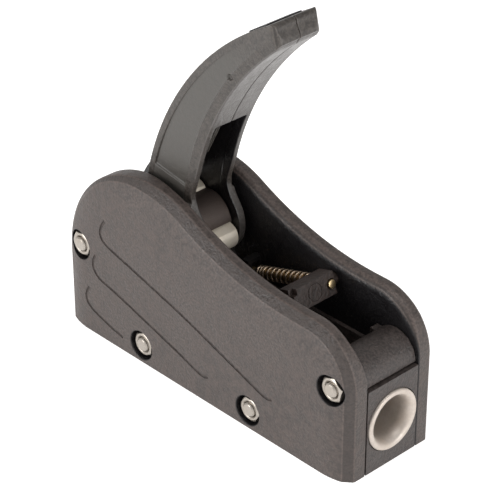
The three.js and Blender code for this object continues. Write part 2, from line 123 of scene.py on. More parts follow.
BUSH = centre_of("front_bush")
BUSH_MOUTH = node_box("front_bush")[1].x
BUSH_FLANGE_RADIUS = 10.53
BUSH_THROAT_RADIUS = 7.3
BUSH_BARREL_RADIUS = 8.7
BUSH_FLANGE = 2
BUSH_LIP = 0.75
BUSH_FLARE = 2.3
BUSH_FLARE_DEPTH = 4.6

BOLTS = [centre_of(f"cross_bolt_{i}") for i in (1, 2, 3, 4)]
BOLT_RADIUS = 2.5
HEAD_RADIUS = 4.2
HEAD_HEIGHT = 4.2
KEY_FLATS = 4
THREAD_TURNS = 7
THREAD_PITCH = 0.8
THREAD_DEPTH = 0.22
RECESS_RADIUS = 5.25
NUT_DEPTH = 0.9
RECESS_DEPTH = 5
NUT_FLATS = 7.8
NUT_TURNS = (0.35, 0.1, 0.52, 0.2)

PIVOT = joint_place("handle_turn")
CRANK = joint_place("cam_swing")
BLOCK = joint_place("block_tilt")
TIE = centre_of("tie_pin")
HANDLE_HALF = node_box("handle_half_far")[1].y
WALL_INNER = 6.6
LOBE_RADIUS = 12.5
SHAFT_RADIUS = 4
SHAFT_HOLE = 4.3
WASHER_RADIUS = 8
HUB_RADIUS = 9.6
PIN_RADIUS = 4.8
PIN_HOLE = 2.8
BACK_ARC = (73.06, 37.96, 111.2)
PALM_ARC = (91.8, 46.1, 107.2)
TIP_TOP = (22.2, 136.6)
TIP_LOW = (24.6, 129.9)
TIP_TOP_CORNER = ((0.7, -2.2), (0.5, -1.1), (-0.1, -0.3), (-1.1, -0.1))
TIP_LOW_CORNER = ((-0.9, -0.1), (-0.2, 0.5), (0, 1.2))
TIP_SIDE_RADIUS = 3.2
BACK_FOOT_Z = 66
PALM_FOOT = (-11.7, 74)
NECK = ((-14.1, 60.3), (-15.6, 63.5), (-13.9, 67.5))
HOLLOW_FOOT_Z = 62.5
SKIN = 3
SOLID_FROM = 91.5
PANEL_INSET = 2.4
PANEL_FADE_FROM = 118
PANEL_FADE = 10
BAND_WIDTH = 3.5
RIB_HALF = 0.9
INLAY_HALF = 7.6
INLAY_START = 2.09
INLAY_END = 2.172
INLAY_DEPTH = 1.2
INLAY_PROUD = 0.4
RIB = ((-27.5, 76), (-16.7, 76), (-10.7, 87.9), (-9.8, 92.5), (-23, 92.5))
DENT = (4.1, 113.4)
BRIDGE_X = 56.5
BRIDGE_Z = 31.6
BRIDGE_RADIUS = 8.4
TAB_LOW = (48.6, 7.6, 31)
TAB_HIGH = (54.8, CORE_HALF, 37.9)

TILT = math.radians(17.5)
ROD_Y = 7
ROD_RADIUS = 1.5
ROD_FRONT = 3.7
ROD_LENGTH = 61
STUB_RADIUS = 1.8
COIL_RADIUS = 2.08
WIRE_RADIUS = 0.42
SEAT_REACH = 29
SPRING_TURNS = 13
CLOSED_TURNS = 1.2
CLOSED_PITCH = 0.36


# ---------------------------------------------------------------- mesh helpers
def make(name, verts, faces):
    mesh = bpy.data.meshes.new(name)
    mesh.from_pydata([(x * MM, y * MM, z * MM) for x, y, z in verts], [], faces)
    obj = bpy.data.objects.new(name, mesh)
    bpy.context.scene.collection.objects.link(obj)
    outward(obj)
    return obj


def outward(obj):
    bm = bmesh.new()
    bm.from_mesh(obj.data)
    bmesh.ops.remove_doubles(bm, verts=bm.verts, dist=1e-7)
    bmesh.ops.recalc_face_normals(bm, faces=bm.faces)
    bm.to_mesh(obj.data)
    bm.free()


def arc(x, z, radius, start, end, steps):
    turns = [start + (end - start) * i / steps for i in range(steps + 1)]
    return [(x + radius * math.cos(t), z + radius * math.sin(t)) for t in turns]


def prism(name, outline, y_low, y_high):
    """A closed outline in X and Z, made solid between two Y values."""
    n = len(outline)
    verts = [(x, y_low, z) for x, z in outline] + [(x, y_high, z) for x, z in outline]
    return make(name, verts, box_faces(n))


def box_faces(n):
    """Faces of a solid between two outlines of n points each."""
    walls = [(i, (i + 1) % n, n + (i + 1) % n, n + i) for i in range(n)]
    return [tuple(range(n)), tuple(reversed(range(n, 2 * n)))] + walls


def block(name, low, high):
    corners = [(low[0], low[2]), (high[0], low[2]), (high[0], high[2]), (low[0], high[2])]
    return prism(name, corners, low[1], high[1])


def lathe(name, profile, centre, axis="Y", steps=72, ring=False):
    """Turns (radius, distance) pairs round an axis.

    A ring's profile closes on itself; any other starts and ends on the axis."""
    verts = []
    faces = []
    count = len(profile)
    for i in range(steps):
        turn = 2 * PI * i / steps
        for radius, along in profile:
            a, b = radius * math.cos(turn), radius * math.sin(turn)
            spot = {"X": (along, a, b), "Y": (b, along, a), "Z": (a, b, along)}[axis]
            verts.append(tuple(c + s for c, s in zip(centre, spot)))
    last = count if ring else count - 1
    for i in range(steps):
        j = (i + 1) % steps
        for k in range(last):
            m = (k + 1) % count
            faces.append((i * count + k, i * count + m, j * count + m, j * count + k))
    obj = make(name, verts, faces)
    tidy(obj)
    return obj


def tidy(obj):
    bm = bmesh.new()
    bm.from_mesh(obj.data)
    bmesh.ops.remove_doubles(bm, verts=bm.verts, dist=2e-7)
    bmesh.ops.dissolve_degenerate(bm, edges=bm.edges, dist=1e-8)
    bmesh.ops.recalc_face_normals(bm, faces=bm.faces)
    bm.to_mesh(obj.data)
    bm.free()


def bar(name, radius, centre, low, high, axis="Y", edge=0.25, steps=72):
    """A round bar with chamfered, softened ends."""
    bend = edge * 0.3
    profile = [(0, low), (radius - edge, low), (radius - bend, low + bend), (radius, low + edge)]
    profile += [(radius, high - edge), (radius - bend, high - bend), (radius - edge, high), (0, high)]
    return lathe(name, profile, centre, axis, steps)


def tube(name, path, radius, sides=12):
    """A round tube along a list of points, with flat ends."""
    points = [Vector(p) for p in path]
    verts = []
    faces = []
    up = None
    for i, point in enumerate(points):
        ahead = (points[min(i + 1, len(points) - 1)] - points[max(i - 1, 0)]).normalized()
        if up is None:
            up = ahead.orthogonal().normalized()
        up = (up - ahead * up.dot(ahead)).normalized()
        side = ahead.cross(up)
        for k in range(sides):
            turn = 2 * PI * k / sides
            verts.append(point + (up * math.cos(turn) + side * math.sin(turn)) * radius)
    for i in range(len(points) - 1):
        for k in range(sides):
            m = (k + 1) % sides
            faces.append((i * sides + k, i * sides + m, (i + 1) * sides + m, (i + 1) * sides + k))
    faces.append(tuple(range(sides)))
    faces.append(tuple(range((len(points) - 1) * sides, len(points) * sides)))
    return make(name, verts, faces)


def smooth_path(points, per_span=8):
    """A Catmull-Rom curve through a few points."""
    ends = [points[0]] + list(points) + [points[-1]]
    path = []
    for i in range(1, len(ends) - 2):
        p0, p1, p2, p3 = (Vector(ends[i + k]) for k in (-1, 0, 1, 2))
        for step in range(per_span):
            t = step / per_span
            square = (2 * p0 - 5 * p1 + 4 * p2 - p3) * t * t
            cube = (3 * p1 - p0 - 3 * p2 + p3) * t ** 3
            path.append(0.5 * ((2 * p1) + (p2 - p0) * t + square + cube))
    path.append(Vector(points[-1]))
    return path


def applied(obj):
    """Replaces obj's mesh by what its modifiers make of it."""
    graph = bpy.context.evaluated_depsgraph_get()
    mesh = bpy.data.meshes.new_from_object(obj.evaluated_get(graph))
    old = obj.data
    obj.modifiers.clear()
    obj.data = mesh
    bpy.data.meshes.remove(old)
    return obj


def boolean(obj, others, operation="DIFFERENCE"):
    for other in others:
        cut = obj.modifiers.new("cut", "BOOLEAN")
        cut.operation = operation
        cut.object = other
        cut.solver = "EXACT"
    applied(obj)
    for other in others:
        bpy.data.objects.remove(other)
    return obj


def rounded(obj, width, segments=3, angle=30):
    bevel = obj.modifiers.new("edge", "BEVEL")
    bevel.width = width * MM
    bevel.segments = segments
    bevel.limit_method = "ANGLE"
    bevel.angle_limit = math.radians(angle)
    bevel.use_clamp_overlap = True
    return applied(obj)


def moulded(obj, voxel=0.35, passes=6):
    """Remeshes a plastic piece finely and relaxes it, which leaves every edge softly rounded."""
    remesh = obj.modifiers.new("remesh", "REMESH")
    remesh.mode = "VOXEL"
    remesh.voxel_size = voxel * MM
    relax = obj.modifiers.new("relax", "SMOOTH")
    relax.factor = 0.5
    relax.iterations = passes
    applied(obj)
    for polygon in obj.data.polygons:
        polygon.use_smooth = True
    return obj


def shade(obj, angle=32):
    """Smooth faces with the edges sharper than angle kept sharp."""
    bm = bmesh.new()
    bm.from_mesh(obj.data)
    for face in bm.faces:
        face.smooth = True
    for edge in bm.edges:
        edge.smooth = len(edge.link_faces) == 2 and edge.calc_face_angle(0) < math.radians(angle)
    bm.to_mesh(obj.data)
    bm.free()
    weigh = obj.modifiers.new("normals", "WEIGHTED_NORMAL")
    weigh.keep_sharp = True
    return applied(obj)


def place(obj, nodes, body, material):
    obj.data.materials.clear()
    obj.data.materials.append(material)
    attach(obj, body)
    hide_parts(*nodes)
    return obj


# ---------------------------------------------------------------- materials
class Nodes:
    """Builds one material's node tree."""

    def __init__(self, name):
        self.material = bpy.data.materials.new(name)
        self.material.use_nodes = True
        self.tree = self.material.node_tree
        self.shader = self.tree.nodes["Principled BSDF"]
        self.where = self.tree.nodes.new("ShaderNodeTexCoord").outputs["Object"]

    def new(self, kind, **values):
        node = self.tree.nodes.new(kind)
        for key, value in values.items():
            node.inputs[key].default_value = value
        return node

    def link(self, source, target):
        self.tree.links.new(source, target)

    def noise(self, scale, detail=2, roughness=0.5, stretch=None):
        node = self.new("ShaderNodeTexNoise", Scale=scale, Detail=detail, Roughness=roughness)
        source = self.where
        if stretch:
            mapping = self.tree.nodes.new("ShaderNodeMapping")
            mapping.inputs["Scale"].default_value = stretch
            self.link(source, mapping.inputs["Vector"])
            source = mapping.outputs["Vector"]
        self.link(source, node.inputs["Vector"])
        return node.outputs["Fac"]

    def span(self, source, low, high, out_low, out_high):
        ends = {"From Min": low, "From Max": high, "To Min": out_low, "To Max": out_high}
        node = self.new("ShaderNodeMapRange", **ends)
        self.link(source, node.inputs["Value"])
        return node.outputs["Result"]

    def math(self, operation, a, b):
        node = self.tree.nodes.new("ShaderNodeMath")
        node.operation = operation
        for socket, value in zip(node.inputs, (a, b)):
            if isinstance(value, (int, float)):
                socket.default_value = value
            else:
                self.link(value, socket)
        return node.outputs["Value"]

    def mix(self, factor, a, b, blend="MIX"):
        node = self.tree.nodes.new("ShaderNodeMix")
        node.data_type = "RGBA"
        node.blend_type = blend
        for socket, value in ((node.inputs[0], factor), (node.inputs[6], a), (node.inputs[7], b)):
            if isinstance(value, (int, float)):
                socket.default_value = value
            elif isinstance(value, tuple):
                socket.default_value = (*value, 1)
            else:
                self.link(value, socket)
        return node.outputs[2]

    def bump(self, height, distance, strength):
        node = self.new("ShaderNodeBump", Strength=strength, Distance=distance)
        self.link(height, node.inputs["Height"])
        return node.outputs["Normal"]

    def axis(self, name):
        split = self.tree.nodes.new("ShaderNodeSeparateXYZ")
        self.link(self.where, split.inputs["Vector"])
        return split.outputs[name]

    def across(self):
        """Distance from the middle plane."""
        return self.math("ABSOLUTE", self.axis("Y"), 0.0)

    def reach(self, circle):
        """Distance from a circle's centre, seen from the side."""
        x = self.math("SUBTRACT", self.axis("X"), circle[0] * MM)
        z = self.math("SUBTRACT", self.axis("Z"), circle[1] * MM)
        squares = self.math("ADD", self.math("MULTIPLY", x, x), self.math("MULTIPLY", z, z))
        return self.math("SQRT", squares, 0.0)

    def aslant(self, start, full, hold, end):
        """1 where the normal's sideways share lies between full and hold, fading to start and end."""
        split = self.tree.nodes.new("ShaderNodeSeparateXYZ")
        normal = self.tree.nodes.new("ShaderNodeTexCoord").outputs["Normal"]
        self.link(normal, split.inputs["Vector"])
        aside = self.math("ABSOLUTE", split.outputs["Y"], 0.0)
        rise = self.span(aside, start, full, 0, 1)
        fall = self.span(aside, hold, end, 0, 1)
        return self.math("SUBTRACT", rise, fall)

    def set(self, name, value):
        socket = self.shader.inputs[name]
        if isinstance(value, (int, float)):
            socket.default_value = value
        elif isinstance(value, tuple):
            socket.default_value = (*value, 1)
        else:
            self.link(value, socket)


def handle_sunk(n):
    """1 on the sunk side panels."""
    back = below(n, n.reach(BACK_ARC), BACK_ARC[2] - PANEL_INSET - 0.2)
    palm = below(n, n.reach(PALM_ARC), PALM_ARC[2] + BAND_WIDTH - 0.2)
    run_out = below(n, n.axis("Z"), PANEL_FADE_FROM, PANEL_FADE)
    return n.math("MULTIPLY", back, n.math("SUBTRACT", run_out, palm))


def handle_lit_underside(n):
    """1 on the palm side of the grip, the underside, which gets painted light."""
    palm = below(n, n.reach(PALM_ARC), PALM_ARC[2] + 0.3)
    return n.math("MULTIPLY", palm, n.span(n.axis("Z"), SOLID_FROM * MM, (SOLID_FROM + 4) * MM, 0.3, 0.8))


def scaled(colour, factor):
    return tuple(min(1, c * factor) for c in colour)


def nylon(name, colour, rough=0.5, grain=1.0, mottle=0.1, inside=None, smooth=None, lit_underside=None):
    """Glass-filled nylon: a fine grain, cloudy patches of tone, painted shade on slanted faces and painted
    highlights on rounded edges.

    The first mask paints hollow faces near-black as painted shade, the second picks out sunk panels, and the
    third paints the palm side paler as painted light."""
    n = Nodes(name)
    dark = scaled(colour, 1 - mottle)
    pale = scaled(colour, 1 + mottle)
    fine = n.noise(1300, 2, 0.6)
    coarse = n.noise(420, 3, 0.65)
    cloud = n.noise(38, 4, 0.6)
    speck = n.mix(n.span(fine, 0.38, 0.62, 0, 1), dark, pale)
    patch = n.mix(n.span(coarse, 0.38, 0.62, 0, 1), dark, pale)
    tone = n.mix(n.span(cloud, 0.35, 0.65, 0.2, 0.7), speck, patch)
    # Painted shade: faces whose normal leans about 40 degrees off the side are darkened, as on the rim's
    # crown.
    band = n.aslant(0.6, 0.72, 0.79, 0.82)
    tone = n.mix(n.span(band, 0, 1, 0, 0.5), tone, scaled(colour, 0.4))
    # Painted highlight: pale lines on rounded edges where the normal leans partway off the side, broken up
    # by fine noise.
    painted_highlight = n.math("MAXIMUM", n.aslant(0.79, 0.82, 0.89, 0.93), n.aslant(0.15, 0.3, 0.58, 0.68))
    painted_highlight = n.math("MULTIPLY", painted_highlight, n.span(fine, 0.3, 0.6, 0.3, 1))
    tone = n.mix(n.span(painted_highlight, 0, 1, 0, 0.4), tone, scaled(colour, 2.2))
    height = n.math("ADD", fine, n.math("MULTIPLY", coarse, 1.6))
    if smooth:
        fade = n.span(smooth(n), 0, 1, 0, 0.7)
        tone = n.mix(fade, tone, SUNK_GREY)
        height = n.math("MULTIPLY", height, n.span(fade, 0, 0.7, 1, 0.35))
    # Painted light: the palm side of the handle is made paler.
    if lit_underside:
        tone = n.mix(lit_underside(n), tone, LIT_UNDERSIDE_GREY)
    # Painted shade: masked hollow faces and bolt pockets are coloured near-black.
    n.set("Base Color", n.mix(inside(n), tone, PAINTED_SHADE_AND_PART_BLACK) if inside else tone)
    patchy = n.span(coarse, 0.3, 0.7, rough - 0.08, rough + 0.08)
    n.set("Roughness", n.math("ADD", patchy, n.span(cloud, 0.3, 0.7, -0.05, 0.05)))
    n.set("Normal", n.bump(height, NYLON_BUMP * grain, 0.9))
    n.set("IOR", 1.5)
    return n.material


def metal(name, colour, rough=0.3, stretch=(1, 1, 1), scratch=1.0, metallic=1.0):
    """Bare metal: fine tool marks stretched along the work, soft stains and small dents."""
    n = Nodes(name)
    marks = n.noise(900, 4, 0.7, stretch)
    stains = n.noise(120, 4, 0.6)
    stained = tuple(c * t for c, t in zip(colour, STAIN_TINT))
    tone = n.mix(n.span(stains, 0.4, 0.75, 0, 0.5), colour, stained)
    n.set("Base Color", n.mix(n.span(marks, 0.35, 0.65, 0, 0.35), tone, scaled(colour, 0.75)))
    n.set("Metallic", metallic)
    streaky = n.span(marks, 0.3, 0.7, rough - 0.07, rough + 0.09)
    n.set("Roughness", n.math("ADD", streaky, n.span(stains, 0.3, 0.8, 0, 0.12)))
    height = n.math("ADD", marks, n.math("MULTIPLY", stains, 0.5))
    n.set("Normal", n.bump(height, METAL_BUMP * scratch, 0.8))
    return n.material


def below(n, value, limit, blur=0.3):
    """1 where value is under limit, 0 where it is over."""
    return n.span(value, limit * MM, (limit + blur) * MM, 1, 0)


def cover_painted_shade(n):
    """1 on the cover's inner face and in the bolt pockets, where painted shade goes."""
    dark = below(n, n.across(), COVER_INNER + 0.2)
    for spot in BOLTS:
        dark = n.math("MAXIMUM", dark, below(n, n.reach((spot.x, spot.z)), RECESS_RADIUS + 0.1, 0.1))
    return dark


def handle_painted_shade(n):
    """1 in the handle's hollow, apart from the rib's edge, where painted shade goes."""
    hollow = below(n, n.across(), WALL_INNER + 0.1)
    mid = n.math("SUBTRACT", hollow, below(n, n.across(), RIB_HALF + 0.1, 0.1))
    low = below(n, n.axis("Z"), SOLID_FROM + 0.2)
    return n.math("MULTIPLY", n.math("MULTIPLY", mid, low), below(n, n.reach(BACK_ARC), BACK_ARC[2] - 1))


NYLON_BUMP = 0.00006
METAL_BUMP = 0.00002
STAIN_TINT = (0.8, 0.72, 0.608)
# Near-black: painted shade in hollows, and also the own colour of the black parts.
PAINTED_SHADE_AND_PART_BLACK = (0.006, 0.005, 0.006)
SUNK_GREY = (0.060, 0.056, 0.050)
# Painted light: the paler grey of the handle's palm side.
LIT_UNDERSIDE_GREY = (0.110, 0.102, 0.098)
COVER_NYLON = nylon("cover_nylon", (0.053, 0.040, 0.035), 0.5, 3.5, 0.45, cover_painted_shade)
CORE_NYLON = nylon("core_nylon", (0.039, 0.030, 0.027), 0.5, 3.5, 0.5)
HANDLE_COLOUR = (0.046, 0.039, 0.034)
HANDLE_NYLON = nylon("handle_nylon", HANDLE_COLOUR, 0.38, 2.6, 0.45, handle_painted_shade, handle_sunk, handle_lit_underside)
BLACK_NYLON = nylon("black_nylon", PAINTED_SHADE_AND_PART_BLACK, 0.42, 0.6)
BLOCK_NYLON = nylon("block_nylon", (0.026, 0.017, 0.014), 0.5, 3.0, 0.5)
BUSH_STEEL = metal("bush_steel", (0.58, 0.52, 0.47), 0.44, (1, 1, 1), 1.5, 0.65)
JAW_STEEL = metal("jaw_steel", (0.50, 0.48, 0.45), 0.38, (1, 12, 1))
FASTENER_STEEL = metal("fastener_steel", (0.42, 0.385, 0.345), 0.28, (1, 1, 1), 0.8, 0.9)
PIN_STEEL = metal("pin_steel", (0.88, 0.80, 0.68), 0.36, (12, 1, 12), 1.0, 0.4)
HUB_METAL = metal("hub_metal", (0.080, 0.062, 0.055), 0.4, (1, 10, 1), 2.5, 0.5)
# Painted shade: the cam is coloured near-black to stand for the shade it sits in.
CAM_PAINTED_SHADE_METAL = metal("cam_metal", (0.008, 0.007, 0.007), 0.55, (1, 1, 1), 1.4, 0.5)
ROD_BRASS = metal("rod_brass", (0.62, 0.48, 0.28), 0.3, (1, 1, 1))
# Painted reflection: the warm bronze tint stands for warm light the steel reflects.
SPRING_STEEL = metal("spring_steel", (0.46, 0.36, 0.27), 0.28, (1, 1, 1))


# ---------------------------------------------------------------- covers
def cover_edge(inset):
    """The cover's outline moved inwards by inset, from the front foot round to the rear foot."""
    front_x = HALF_LENGTH - FRONT_RADIUS
    front_z = SHOULDER_HEIGHT - FRONT_RADIUS
    dome_x = -HALF_LENGTH + DOME_RADIUS
    dome_z = DOME_HEIGHT - DOME_RADIUS
    reach = DOME_RADIUS + SWEEP_RADIUS
    sweep_z = SHOULDER_HEIGHT + SWEEP_RADIUS
    rise = sweep_z - dome_z
    run = math.sqrt(reach * reach - rise * rise)
    sweep = math.asin(run / reach)
    foot = [(HALF_LENGTH - inset, front_z * i / 8) for i in range(8)]
    front = arc(front_x, front_z, FRONT_RADIUS - inset, 0, PI / 2, 28)
    hollow = arc(dome_x + run, sweep_z, SWEEP_RADIUS + inset, -PI / 2, -PI / 2 - sweep, 36)
    dome = arc(dome_x, dome_z, DOME_RADIUS - inset, PI / 2 - sweep, PI, 56)
    heel = [(-HALF_LENGTH + inset, dome_z * (1 - i / 8)) for i in range(1, 9)]
    return foot + front + hollow + dome[1:] + heel


def crown(inset):
    """Distance out of the cover's face, a given inset from its edge."""
    return HALF_WIDTH - CROWN_DROP * (1 - inset / CROWN_REACH) ** CROWN_POWER


def inner_section(radius):
    """(inset, distance out) pairs of the rim's rounded inner edge."""
    turns = [PI / 2 * i / 8 for i in range(9)]
    return [(radius * (1 - math.sin(t)), COVER_INNER + radius * (1 - math.cos(t))) for t in turns]


def soft_corner(before, corner, after, reach, steps=5):
    """Points that turn from one side of a corner to the other."""
    start = corner + (before - corner).normalized() * reach
    end = corner + (after - corner).normalized() * reach
    turns = [i / steps for i in range(steps + 1)]
    return [start * (1 - t) ** 2 + corner * 2 * t * (1 - t) + end * t * t for t in turns]


def outer_section(band):
    """(inset, distance out) pairs: a soft corner, the rim's slanted band, a soft crease and the crown."""
    slope = CROWN_DROP * CROWN_POWER / CROWN_REACH * (1 - band / CROWN_REACH) ** (CROWN_POWER - 1)
    crease = Vector((band, crown(band)))
    corner = Vector((0, crease.y - band * BAND_RISE))
    inner = Vector((0, COVER_INNER))
    beyond = crease + Vector((1, slope))
    section = soft_corner(inner, corner, crease, 0.6) + soft_corner(corner, crease, beyond, 0.45)
    return [(p.x, p.y) for p in section] + [(d, crown(d)) for d in (4.2, 5.2, 6.4, 7.8, 9.4, CROWN_REACH)]


def ramp(value, low, high):
    t = min(1, max(0, (value - low) / (high - low)))
    return t * t * (3 - 2 * t)


def rings(small, large, share, side):
    """Rings of points round the cover; each point lies between a tight section and a full one."""
    verts = []
    for (inset_a, out_a), (inset_b, out_b) in zip(small, large):
        for (xa, za), (xb, zb) in zip(cover_edge(inset_a), cover_edge(inset_b)):
            part = share(xa, za)
            out = out_a + (out_b - out_a) * part
            verts.append((xa + (xb - xa) * part, side * out, za + (zb - za) * part))
    return verts


def inner_share(x, z):
    """The rim's inner edge is rounded beside the slot and nearly square at both ends."""
    return ramp(x, *SLOT_STARTS) * ramp(z, *SLOT_RISES)


def outer_share(x, _):
    """The rim's outer edge is rounder in front of the handle than behind it."""
    return ramp(x, *BAND_WIDENS)


def groove_lines():
    """The three long J-shaped lines cut into each side."""
    top = [(33.7, 16.2), (30, 15.8), (19.9, 19.1), (-7, 27.9), (-34.3, 35.3)]
    top += [(-44.1, 38), (-47, 40.6), (-46.6, 43.9), (-44.6, 47)]
    middle = [(4.4, 10), (0.5, 9.5), (-11.4, 13.2), (-38.5, 20.9)]
    middle += [(-48.3, 23.3), (-51.3, 26.2), (-51.3, 29), (-50.1, 31.6)]
    low = [(-37.3, 5.2), (-44.3, 6.7), (-53, 9.4), (-55.7, 12.2), (-55.4, 15), (-53.9, 17.5)]
    return [top, middle, low]


def cover(side, node):
    """One cover: a crowned shell with its pockets, grooves and sockets cut in."""
    n = len(cover_edge(0))
    verts = rings(inner_section(INNER_RADIUS_ENDS), inner_section(INNER_RADIUS), inner_share, side)
    verts += rings(outer_section(RIM_BAND_REAR), outer_section(RIM_BAND), outer_share, side)
    count = len(verts) // n
    faces = []
    for k in range(count - 1):
        faces += [(k * n + i, k * n + i + 1, (k + 1) * n + i + 1, (k + 1) * n + i) for i in range(n - 1)]
    faces.append(tuple(range(n)))
    faces.append(tuple(range((count - 1) * n, count * n)))
    faces.append(tuple(k * n for k in range(count)) + tuple(k * n + n - 1 for k in reversed(range(count))))
    obj = make(node + "_shell", verts, faces)
    cutters = [recess(spot, side) for spot in BOLTS]
    for line in groove_lines():
        path = smooth_path([(x, side * (HALF_WIDTH + 0.02), z) for x, z in line], 6)
        cutters.append(tube("groove", path, GROOVE_RADIUS, 10))
    cutters.append(socket(PIVOT, side, SHAFT_HOLE, 5.5, 40))
    cutters.append(socket(BLOCK, side, STUB_RADIUS + GAP, 2.1, 32))
    boolean(obj, cutters)
    shade(obj, 28)
    return place(obj, [node], "housing", COVER_NYLON)


def socket(spot, side, radius, depth, steps):
    """A blind round hole in the cover's inner face."""
    low = COVER_INNER - 0.1
    profile = [(0, 0), (radius, 0), (radius, depth), (0, depth)]
    return lathe("socket", [(r, side * (low + t)) for r, t in profile], (spot.x, 0, spot.z), "Y", steps)


def recess(spot, side):
    """The round pocket of one cross bolt, with a rolled mouth, and its through hole."""
    floor = HALF_WIDTH - RECESS_DEPTH
    hole = BOLT_RADIUS + GAP
    profile = [(0, COVER_INNER - 1), (hole, COVER_INNER - 1), (hole, floor), (RECESS_RADIUS, floor)]
    mouth = RECESS_RADIUS + 0.3
    profile += [(RECESS_RADIUS, HALF_WIDTH - 0.25), (mouth, HALF_WIDTH + 0.01)]
    profile += [(mouth, HALF_WIDTH + 1), (0, HALF_WIDTH + 1)]
    return lathe("recess", [(r, side * y) for r, y in profile], (spot.x, 0, spot.z), "Y", 48)


# ---------------------------------------------------------------- base, bridges, bushes, jaw
def base():
    """The base moulding: a channel for the rope, seats for the bridges and bushes, and deck holes."""
    obj = block("base_moulding", (-HALF_LENGTH, -CORE_HALF, 0), (HALF_LENGTH, CORE_HALF, SHELF_HEIGHT))
    above = SHELF_HEIGHT + 2
    cutters = [block("cut", (-CHANNEL_END, -CHANNEL_HALF, FLOOR_HEIGHT), (CHANNEL_END, CHANNEL_HALF, above))]
    jaw_low, jaw_high = node_box("base_jaw")
    pocket_low = (jaw_low.x - GAP, jaw_low.y - GAP, jaw_low.z - GAP)
    cutters.append(block("cut", pocket_low, (jaw_high.x + GAP, jaw_high.y + GAP, above)))
    for end in (-1, 1):
        xs = sorted((end * CHANNEL_END, end * FRONT_LIP))
        cutters.append(block("cut", (xs[0], -CORE_HALF - 1, BRIDGE_SEAT), (xs[1], CORE_HALF + 1, above)))
        barrel, flange = BUSH_BARREL_RADIUS + GAP, BUSH_FLANGE_RADIUS + GAP
        seat = BUSH_MOUTH - BUSH_FLANGE - GAP
        bore_start, bore_end = CHANNEL_END - 2, HALF_LENGTH + 2
        bore = [(0, bore_start), (barrel, bore_start), (barrel, seat)]
        bore += [(flange, seat), (flange, bore_end), (0, bore_end)]
        cutters.append(lathe("cut", [(r, end * t) for r, t in bore], (0, 0, BUSH.z), "X", 80))
        hole = [(0, -1), (DECK_HOLE_RADIUS, -1), (DECK_HOLE_RADIUS, COUNTERBORE_FLOOR)]
        hole += [(COUNTERBORE_RADIUS, COUNTERBORE_FLOOR), (COUNTERBORE_RADIUS, 12), (0, 12)]
        cutters.append(lathe("cut", hole, (end * DECK_HOLE_X, 0, 0), "Z", 40))
    for spot in BOLTS[1:3]:
        cutters.append(bar("cut", BOLT_RADIUS + GAP, (spot.x, 0, spot.z), -20, 20, steps=40))
    boolean(obj, cutters)
    rounded(obj, 0.3, 3, 40)
    shade(obj, 35)
    return place(obj, ["base_channel"], "housing", CORE_NYLON)


def bridge(end, node):
    """The rolled block over one end of the channel, with its two small tabs."""
    back, front, low = CHANNEL_END + GAP, FRONT_LIP - GAP, BRIDGE_SEAT + GAP
    outline = [(back, low), (front, low), (front, BRIDGE_Z)]
    outline += arc(BRIDGE_X, BRIDGE_Z, BRIDGE_RADIUS, 0, PI, 48) + [(back, BRIDGE_Z)]
    outline = [(end * x, z) for x, z in outline]
    obj = prism(node + "_roll", outline, -CORE_HALF, CORE_HALF)
    bolt = BOLTS[3] if end > 0 else BOLTS[0]
    boolean(obj, [bar("cut", BOLT_RADIUS + GAP, (bolt.x, 0, bolt.z), -20, 20, steps=40)])
    rounded(obj, 0.45, 3, 40)
    tabs = []
    for side in (-1, 1):
        xs = sorted((end * TAB_LOW[0], end * TAB_HIGH[0]))
        ys = sorted((side * TAB_LOW[1], side * TAB_HIGH[1]))
        tab = block("tab", (xs[0], ys[0], TAB_LOW[2]), (xs[1], ys[1], TAB_HIGH[2]))
        tabs.append(rounded(tab, 0.35, 2, 40))
    boolean(obj, tabs, "UNION")
    shade(obj, 35)
    return place(obj, [node], "housing", CORE_NYLON)


def bush(end, node):
    """A flanged bush with a rolled lip and a flared mouth."""
    mouth = BUSH_MOUTH
    back = mouth - BUSH_FLANGE
    tail = mouth - 18
    profile = [(BUSH_THROAT_RADIUS + 0.3, tail), (BUSH_BARREL_RADIUS, tail), (BUSH_BARREL_RADIUS, back)]
    profile += [(BUSH_FLANGE_RADIUS - 0.1, back), (BUSH_FLANGE_RADIUS, back + 0.1)]
    for i in range(7):
        turn = i / 6 * PI / 2
        radius = BUSH_FLANGE_RADIUS - BUSH_LIP * (1 - math.cos(turn))
        profile.append((radius, mouth - BUSH_LIP * (1 - math.sin(turn))))
    for i in range(17):
        turn = i / 16 * PI / 2
        radius = BUSH_THROAT_RADIUS + BUSH_FLARE * (1 - math.sin(turn))
        profile.append((radius, mouth - BUSH_FLARE_DEPTH * (1 - math.cos(turn)) - 0.02))
    obj = lathe(node + "_ring", [(r, end * t) for r, t in profile], (0, 0, BUSH.z), "X", 128, ring=True)
    shade(obj, 40)
    return place(obj, [node], "housing", BUSH_STEEL)


def jaw():
    """The plate of rope teeth in the channel's floor."""
    low, high = node_box("base_jaw")
    teeth = 11
    pitch = (high.x - low.x) / teeth
    outline = [(low.x, low.z), (high.x, low.z)]
    for i in range(teeth, 0, -1):
        outline += [(low.x + i * pitch, high.z), (low.x + (i - 1) * pitch, high.z - 0.9)]
    obj = prism("toothed_plate", outline, low.y, high.y)
    rounded(obj, 0.12, 2, 20)
    shade(obj, 30)
    return place(obj, ["base_jaw"], "housing", JAW_STEEL)


